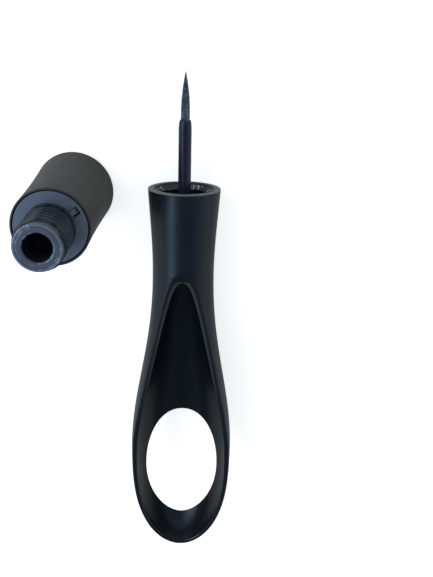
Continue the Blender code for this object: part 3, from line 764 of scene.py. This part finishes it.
# ---- inner bottle ----
# The slate blue ink bottle drops into the sleeve, so that only its flat shoulder and its
# neck show. The mould's parting line crosses the shoulder, past the small stop lug.
BODY_HEIGHT, NECK_HEIGHT = 31 * MM, 13 * MM
NECK_TOP = BODY_HEIGHT + NECK_HEIGHT
SLEEVE_RIM_RADIUS, SLEEVE_RIM_WALL, SLEEVE_FLOOR = 8.85 * MM, 0.45 * MM, 1.2 * MM
DISC_RADIUS, DISC_THICKNESS = SLEEVE_RIM_RADIUS - SLEEVE_RIM_WALL - CLEARANCE, 1.3 * MM
VIAL_RADIUS, CHAMBER_RADIUS, VIAL_BASE, CHAMBER_FLOOR = 7.4 * MM, 6.5 * MM, 1.5 * MM, 2.5 * MM
CEILING_WALL, CEILING_DROP = 1.6 * MM, 1.8 * MM
NECK_BORE, COLLAR_RADIUS, COLLAR_HEIGHT = 3.75 * MM, 5.75 * MM, 1.4 * MM
FLANGE_RADIUS, FLANGE_THICKNESS, THREAD_RUN_OUT = 4.3 * MM, 0.7 * MM, 1.1 * MM
PARTING_ANGLE = math.radians(35)
LUG_OUTER, LUG_HALF_WIDTH, LUG_HEIGHT = 7.0 * MM, 0.55 * MM, 1.0 * MM
NOTCH_WIDTH, NOTCH_DEPTH, NOTCH_FADE, LUG_SLOPE = 0.28 * MM, 0.35 * MM, 0.2 * MM, 0.12 * MM
SEAM_HALF_WIDTH, SEAM_DEPTH, SEAM_SLOPE, NECK_SEAM = 0.07 * MM, 0.06 * MM, 0.05 * MM, 0.035 * MM
DISC_EDGE, DISC_STEP, NECK_STEP, RIM_WAVE = 0.12 * MM, 0.055 * MM, 0.09 * MM, 0.03 * MM


def make_inner_bottle():
    """The bottle turned from one profile, with its thread, lug, notch and seams raised on it.

    On the shoulder the height is the disc's, plus the lug inside its outline, less the
    notch in a band around the lug, and less a fine groove along the parting line.
    """
    ceiling = BODY_HEIGHT - CEILING_WALL
    seat = NECK_TOP - FLANGE_THICKNESS - SEAT_GAP
    flange_bore = FLANGE_RADIUS + CLEARANCE
    collar_top = BODY_HEIGHT + COLLAR_HEIGHT
    under = BODY_HEIGHT - DISC_THICKNESS
    outline = rounded([
        (0, CHAMBER_FLOOR, 0), (CHAMBER_RADIUS, CHAMBER_FLOOR, 1.0 * MM),
        (CHAMBER_RADIUS, ceiling - CEILING_DROP, 0.8 * MM), (NECK_BORE, ceiling, 0.4 * MM),
        (NECK_BORE, seat, 0.05 * MM), (flange_bore, seat, 0.05 * MM),
        (flange_bore, NECK_TOP, 0.1 * MM), (NECK_RADIUS, NECK_TOP, 0.22 * MM),
        (NECK_RADIUS, collar_top, 0.12 * MM), (COLLAR_RADIUS, collar_top, 0.25 * MM),
        (COLLAR_RADIUS, BODY_HEIGHT, 0.1 * MM), (DISC_RADIUS, BODY_HEIGHT, DISC_EDGE),
        (DISC_RADIUS, under, 0.1 * MM), (VIAL_RADIUS, under, 0.1 * MM),
        (VIAL_RADIUS, VIAL_BASE, 0.6 * MM), (0, VIAL_BASE, 0)], steps=3, closed=False)
    profile = refined(outline, NECK_STEP, collar_top + 0.05 * MM, NECK_TOP - 0.15 * MM, False)
    flat = [(radius, BODY_HEIGHT) for radius in
            np.arange(COLLAR_RADIUS + 0.1 * MM, DISC_RADIUS - DISC_EDGE, DISC_STEP)]
    start = np.flatnonzero((np.abs(profile[:, 1] - BODY_HEIGHT) < TINY)
                           & (profile[:, 0] < COLLAR_RADIUS + 0.2 * MM))[-1]
    profile = np.concatenate([profile[:start + 1], np.array(flat)[1:], profile[start + 1:]])
    near_lug = PARTING_ANGLE + np.radians(np.linspace(-10, 10, 81))
    near_seam = PARTING_ANGLE + math.pi + np.radians(np.linspace(-1.2, 1.2, 13))

    def shape(radius, height, angle):
        neck = (np.abs(radius - NECK_RADIUS) < 0.02 * MM) & (height > collar_top)
        thread = thread_ridge(angle, height, collar_top + THREAD_RUN_OUT)
        across = radius * np.sin(angle - PARTING_ANGLE)
        out = radius * np.cos(angle - PARTING_ANGLE)
        top = (np.abs(height - BODY_HEIGHT) < TINY) & (radius > COLLAR_RADIUS)
        beyond = np.maximum(np.abs(across) - LUG_HALF_WIDTH, out - LUG_OUTER)
        beyond = np.where(out < 0, 1, beyond)
        lug = soft_rise(-beyond, LUG_SLOPE) * LUG_HEIGHT
        notch = soft_rise(NOTCH_WIDTH - np.abs(beyond - NOTCH_WIDTH), LUG_SLOPE)
        notch = notch * NOTCH_DEPTH * (1 - 0.8 * soft_rise(across - LUG_HALF_WIDTH, NOTCH_FADE))
        seam = soft_rise(SEAM_HALF_WIDTH - np.abs(across), SEAM_SLOPE) * SEAM_DEPTH
        height = height + top * (lug - notch - seam * (beyond > NOTCH_WIDTH))
        wavy = RIM_WAVE * np.sin(angle * 3 + 1) * np.sin(angle * 7)
        rim = (height > NECK_TOP - 0.3 * MM) & (radius > flange_bore - 10 * TINY)
        mould = neck * NECK_SEAM * soft_rise(SEAM_HALF_WIDTH * 1.5 - np.abs(across), SEAM_SLOPE)
        return radius + thread * neck + mould, height + rim * np.minimum(wavy, 0)

    angles = joined_turn(even_turn(132), near_lug, near_seam)
    return turned_piece("inner_bottle_body", profile, angles, shape, closed=False)


def neck_and_notch_shade(x, y, z):
    """1 on the neck's side, darkened as painted shade, and in the notch around the lug, darkened as
    a painted shadow, and 0 elsewhere.
    """
    neck = (soft_rise(COLLAR_RADIUS + 0.1 * MM - np.hypot(x, y), 0.1 * MM)
            * soft_rise(z - BODY_HEIGHT - 0.05 * MM, 0.3 * MM)
            * soft_rise(NECK_TOP - 0.12 * MM - z, 0.25 * MM))
    return np.maximum(neck, soft_rise(BODY_HEIGHT - 0.08 * MM - z, 0.15 * MM))


# Painted glints on the rims: the edges that they follow, and their colour.
GLINT_EDGES, GLINT_COLOUR = (3.25 * MM, 4.45 * MM, 5.05 * MM), (0.30, 0.36, 0.46)


def rim_glints(x, y, z):
    """Painted glints: light patches along the top edges of the neck and wiper.

    Where three waves around the rim add up high, near one of the three edges. The slowest
    wave is strongest, so that the patches gather on two opposite sides.
    """
    angle, radius = np.arctan2(y, x), np.hypot(x, y)
    waves = 1.5 * np.sin(-2 * angle) + np.sin(13 * angle + 2) + 0.7 * np.sin(37 * angle + 1)
    gap = np.min([np.abs(radius - edge) for edge in GLINT_EDGES], axis=0)
    return (soft_rise(waves - 0.8) * soft_rise(0.2 * MM - gap, 0.12 * MM)
            * soft_rise(z - NECK_TOP + 0.3 * MM, 0.15 * MM))


# The neck's side is painted dark as shade and the notch as shadow; the rims carry painted glints.
bottle_slate = moulded_plastic(
    "bottle_slate", (0.098, 0.120, 0.160), (0.122, 0.147, 0.190), 0.36,
    grain=0.35, streak=0.35, flow=(260.0, 260.0, 60.0), dust=0.35, specular=0.35, coat=0.1,
    shade_and_glint_marks=(("ink_and_shade", (0.003, 0.004, 0.006), 1.0), ("glinting", GLINT_COLOUR, 0.8)),
    wet=("ink_and_shade", 0.16))
slate_bottle = make_inner_bottle()
mark(slate_bottle, "ink_and_shade", neck_and_notch_shade)
mark(slate_bottle, "glinting", rim_glints)
finish(slate_bottle, bottle_slate, "bottle", "inner_bottle")

# ---- outer sleeve ----
# A satin black jacket around the ink bottle. Its rim is thin and level with the shoulder,
# its side flares a little down to the rounded foot, and the foot is slightly hollow.
FOOT_FLARE, FLARE_POWER, FOOT_ROUND = 1.1 * MM, 1.8, 0.9 * MM
HOLLOW_EDGE, HOLLOW_RADIUS, HOLLOW_DEPTH = 7.6 * MM, 7.3 * MM, 0.25 * MM


def make_sleeve():
    """The jacket's profile: straight inside, and outside a curve that widens to the foot."""
    bore, rim_bore = VIAL_RADIUS + CLEARANCE, SLEEVE_RIM_RADIUS - SLEEVE_RIM_WALL
    ledge = BODY_HEIGHT - DISC_THICKNESS - SEAT_GAP
    inside = rounded([
        (0, SLEEVE_FLOOR, 0), (bore, SLEEVE_FLOOR, 0.2 * MM), (bore, ledge, 0.08 * MM),
        (rim_bore, ledge, 0.08 * MM), (rim_bore, BODY_HEIGHT, 0.1 * MM),
        (SLEEVE_RIM_RADIUS, BODY_HEIGHT, 0.14 * MM), (SLEEVE_RIM_RADIUS, BODY_HEIGHT - MM, 0)],
        closed=False)[:-1]
    height = np.linspace(BODY_HEIGHT - 0.5 * MM, FOOT_ROUND, 40)
    radius = SLEEVE_RIM_RADIUS + FOOT_FLARE * (1 - height / BODY_HEIGHT) ** FLARE_POWER
    side = np.stack([radius, height], axis=1)
    turn = np.radians(np.linspace(0, -90, 10))[1:]
    foot = np.stack([radius[-1] - FOOT_ROUND + FOOT_ROUND * np.cos(turn),
                     FOOT_ROUND + FOOT_ROUND * np.sin(turn)], axis=1)
    hollow = np.array([(HOLLOW_EDGE, 0), (HOLLOW_RADIUS, HOLLOW_DEPTH), (0, HOLLOW_DEPTH)])
    profile = np.concatenate([inside, side, foot, hollow])
    return turned_piece("outer_sleeve_jacket", profile, even_turn(160), closed=False)


sleeve_black = moulded_plastic(
    "sleeve_black", (0.037, 0.034, 0.029), (0.049, 0.045, 0.038), 0.42,
    grain=0.4, streak=0.04, flow=(500.0, 500.0, 500.0), dust=0.3, specular=0.35)
finish(make_sleeve(), sleeve_black, "bottle", "outer_sleeve")

# ---- orifice wiper ----
# The soft insert in the neck. Its flange has a sloping, slightly uneven face, and its tube
# narrows to a lip that wipes the stem.
WIPER_BORE, WIPER_LENGTH, WIPER_CONE = 3.0 * MM, 10 * MM, 2.5 * MM
WIPER_CHAMFER, WIPER_LIP_WALL, WIPER_LIP_HEIGHT = 0.32 * MM, 0.55 * MM, 0.6 * MM
FLANGE_FIT, FACE_DEPTH = 0.05 * MM, 0.5 * MM


def make_wiper():
    """The insert's profile, with a small waviness in its flange's face."""
    tube = NECK_BORE - CLEARANCE
    base = NECK_TOP - WIPER_LENGTH
    under = NECK_TOP - FLANGE_THICKNESS
    wide = FLANGE_RADIUS + CLEARANCE - FLANGE_FIT
    profile = rounded([
        (WIPER_BORE + WIPER_CHAMFER, NECK_TOP, 0.22 * MM), (wide, NECK_TOP, 0.2 * MM),
        (wide, under, 0.08 * MM), (tube, under, 0.08 * MM), (tube, base + WIPER_CONE, 0.5 * MM),
        (STEM_HOLE + WIPER_LIP_WALL, base, 0.15 * MM), (STEM_HOLE, base, 0.15 * MM),
        (STEM_HOLE, base + WIPER_LIP_HEIGHT, 0.2 * MM),
        (WIPER_BORE, base + WIPER_CONE, 0.5 * MM), (WIPER_BORE, NECK_TOP - FACE_DEPTH, 0.3 * MM)])
    profile = refined(profile, 0.1 * MM, NECK_TOP - FACE_DEPTH, NECK_TOP)

    def shape(radius, height, angle):
        wavy = 0.5 * np.sin(2 * angle + 0.6) + 0.3 * np.sin(5 * angle) + 0.2 * np.sin(9 * angle + 2)
        top = soft_rise(height - NECK_TOP + FACE_DEPTH, 0.4 * MM)
        inner = soft_rise(wide - radius, 0.9 * MM)
        return radius + 0.05 * MM * wavy * top * inner, height - 0.04 * MM * (1 + wavy) * top

    return turned_piece("orifice_wiper_insert", profile, even_turn(128), shape)


def bore_ink_and_shade(x, y, z):
    """1 inside the wiper's opening, darkened for ink and as painted shade, and 0 on its flange."""
    return soft_rise(NECK_TOP - 0.12 * MM - z, 0.3 * MM)


# The wiper's opening is darkened for ink and as painted shade, and its flange's edges carry painted
# glints.
wiper_slate = moulded_plastic(
    "wiper_slate", (0.045, 0.058, 0.080), (0.085, 0.103, 0.135), 0.2,
    grain=0.4, streak=1.0, flow=(1900.0, 1900.0, 1900.0), dust=0.3, specular=0.35, coat=0.5,
    shade_and_glint_marks=(("ink_and_shade", (0.006, 0.008, 0.013), 1.0), ("glinting", GLINT_COLOUR, 0.8)))
soft_wiper = make_wiper()
mark(soft_wiper, "ink_and_shade", bore_ink_and_shade)
mark(soft_wiper, "glinting", rim_glints)
finish(soft_wiper, wiper_slate, "bottle", "orifice_wiper")

# ---- mixing ball ----
# A steel ball that stirs the pigment when the bottle is shaken. It is worn dull by the
# pigment, with small flats from striking the bottle.
BALL_RADIUS, BALL_FLATS, FLAT_SHARE = 1.5 * MM, 14, 0.985
BALL_CENTRE = np.add(*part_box("mixing_ball")) / 2


def make_ball():
    """A ball of latitude and longitude lines, flattened where it has struck the wall.

    Each flat pulls back the points whose direction is nearly that of the blow.
    """
    rows, columns = 40, 64
    polar, around = np.linspace(0, math.pi, rows)[:, None], even_turn(columns)
    unit = np.stack([np.sin(polar) * np.cos(around), np.sin(polar) * np.sin(around),
                     np.broadcast_to(np.cos(polar), (rows, columns))], axis=-1)
    radius = np.full((rows, columns), BALL_RADIUS)
    for blow in np.random.default_rng(3).normal(size=(BALL_FLATS, 3)):
        reach = unit @ (blow / np.linalg.norm(blow))
        radius = np.minimum(radius, BALL_RADIUS * FLAT_SHARE / np.maximum(reach, 0.5))
    points = (BALL_CENTRE + unit * radius[..., None]).reshape(-1, 3)
    return piece_from("mixing_ball_steel", points, grid_faces(rows, columns, closed=True))


def ball_material():
    """Dull steel with fine scratches and a patchy film of pigment."""
    material, tree, shader = new_material("ball_steel")
    place = place_in(tree)
    film = noise(tree, place, 900.0, 4.0)
    scratched = add(tree, "ShaderNodeBump", {
        "Strength": 0.3, "Distance": 0.00002, "Height": noise(tree, place, 6000.0, 3.0)})
    feed(shader, {
        "Base Color": mix_colour(tree, film, (0.62, 0.62, 0.64), (0.25, 0.25, 0.27)),
        "Roughness": ranged(tree, film, 0.0, 1.0, 0.12, 0.45),
        "Normal": scratched.outputs["Normal"], "Metallic": 1.0})
    return material


finish(make_ball(), ball_material(), "ball", "mixing_ball")

# ---- floor, light and camera ----
# A plain pale table under soft window light from the upper left, seen from above at the
# photograph's angle to the cap.
FLOOR_SIZE = 1.6
CAMERA_TILT, CAMERA_ROLL, LENS, SHIFT = math.radians(23.27), math.radians(1.265), 43.75, 0.0273
CAMERA_RIGHT, CAMERA_DOWN, CAMERA_BACK = 4.5 * MM, 24.31 * MM, 170 * MM
SENSOR_WIDTH, CLIP_FROM, CLIP_TO = 36, 0.01, 10
TABLE_BOUNCED, TABLE_MIRRORED = (0.45, 0.45, 0.45), (0.62, 0.61, 0.575)
TABLE_PALE, TABLE_PALEST = (0.90, 0.90, 0.90), (0.93, 0.93, 0.93)
GLOW_MIRRORED, GLOW_SEEN = 0.08, 0.68
ROOM_LIGHT, NEAR_SIDE, WHITE = (0.50, 0.52, 0.55), (0.07, 0.10, 0.15), (1, 1, 1)
DOME = ((0.0, (1, 1, 1, 1)), (0.08, (0.62, 0.75, 0.90, 1)), (0.5, (0.33, 0.52, 0.75, 1)),
        (0.85, (0.12, 0.19, 0.30, 1)), (1.0, (0.08, 0.13, 0.20, 1)))
WINDOW = {"place": (-0.36, 0.20, 0.44), "target": (0.0, -0.03, 0.01), "size": (0.5, 0.3),
          "energy": 1.1, "colour": (0.70, 0.84, 1.0)}
WINDOW_PANE = {"place": (-0.092, -0.045, 0.155), "target": (0.0225, -0.002, 0.0165),
               "size": (0.055, 0.077), "energy": 0.07, "colour": (0.46, 0.68, 1.0)}


def seen_directly(tree):
    """1 for rays from the camera or through glass, and 1 for those and for mirrored rays."""
    path = tree.nodes.new("ShaderNodeLightPath").outputs
    straight = reckoned(tree, "MAXIMUM", path["Is Camera Ray"], path["Is Transmission Ray"])
    return straight, reckoned(tree, "MAXIMUM", straight, path["Is Glossy Ray"])


def make_floor():
    """A pale table top, white where the camera sees it lit, with a faint grain."""
    points = np.array([(-1, -1, 0), (1, -1, 0), (1, 1, 0), (-1, 1, 0)]) * FLOOR_SIZE / 2
    mesh = bpy.data.meshes.new("table_top")
    mesh.from_pydata(points.tolist(), [], [(0, 1, 2, 3)])
    material, tree, shader = new_material("table_white")
    pale = mix_colour(tree, noise(tree, place_in(tree), 40.0, 2.0), TABLE_PALE, TABLE_PALEST)
    straight, either = seen_directly(tree)
    seen = mix_colour(tree, straight, TABLE_MIRRORED, pale)
    glow = ranged(tree, straight, 0.0, 1.0, GLOW_MIRRORED, GLOW_SEEN)
    feed(shader, {
        "Base Color": mix_colour(tree, either, TABLE_BOUNCED, seen), "Emission Color": seen,
        "Emission Strength": reckoned(tree, "MULTIPLY", glow, either),
        "Roughness": 0.9, "Specular IOR Level": 0.1})
    mesh.materials.append(material)
    new_object("table_top", mesh)


def make_light(name, place, target, size, energy, colour):
    """A soft rectangular light that faces a point."""
    data = bpy.data.lights.new(name, "AREA")
    data.shape, data.size, data.size_y = "RECTANGLE", size[0], size[1]
    data.energy, data.color = energy, colour
    light = new_object(name, data)
    light.location = place
    facing = Vector(target) - Vector(place)
    light.rotation_euler = facing.to_track_quat("-Z", "Y").to_euler()
    light.visible_camera = False


def make_world():
    """An even room light, white to the camera.

    Mirrored rays see it white at the table's far edge, blue by the height of a window, and
    dim overhead, by how far up the ray points. The room's near side, towards -Y, is dim.
    """
    world = bpy.data.worlds.new("room")
    world.use_nodes = True
    tree = world.node_tree
    ray = add(tree, "ShaderNodeSeparateXYZ", {0: place_in(tree, "Generated")}).outputs
    dome = add(tree, "ShaderNodeValToRGB", {"Fac": ray["Z"]})
    ramp = dome.color_ramp.elements
    ramp[0].position, ramp[0].color = DOME[0]
    ramp[1].position, ramp[1].color = DOME[-1]
    for place, shade in DOME[1:-1]:
        ramp.new(place).color = shade
    far = ranged(tree, ray["Y"], -0.9, -0.4)
    mirrored = mix_colour(tree, far, NEAR_SIDE, dome.outputs["Color"])
    straight, either = seen_directly(tree)
    seen = mix_colour(tree, straight, mirrored, WHITE)
    feed(tree.nodes["Background"], {"Color": mix_colour(tree, either, ROOM_LIGHT, seen)})
    bpy.context.scene.world = world


def make_camera():
    """The photograph's view of the cap: its mouth stands where the photograph has it."""
    right = Vector((1, 0, 0))
    up = Vector((0, math.cos(CAMERA_TILT), -math.sin(CAMERA_TILT)))
    forward = Vector((0, -math.sin(CAMERA_TILT), -math.cos(CAMERA_TILT)))
    place = Vector(CAP_MOUTH) + right * CAMERA_RIGHT - up * CAMERA_DOWN - forward * CAMERA_BACK
    data = bpy.data.cameras.new("camera")
    data.sensor_width, data.lens, data.shift_x = SENSOR_WIDTH, LENS, SHIFT
    data.clip_start, data.clip_end = CLIP_FROM, CLIP_TO
    camera = new_object("camera", data)
    frame_axes = Matrix((right, up, -forward)).transposed().to_4x4()
    camera.matrix_world = Matrix.Translation(place) @ frame_axes @ Matrix.Rotation(
        CAMERA_ROLL, 4, "Z")
    bpy.context.scene.camera = camera


make_floor()
make_world()
make_light("window", **WINDOW)
make_light("window_pane", **WINDOW_PANE)
make_camera()
bpy.context.scene.view_settings.view_transform = "Standard"
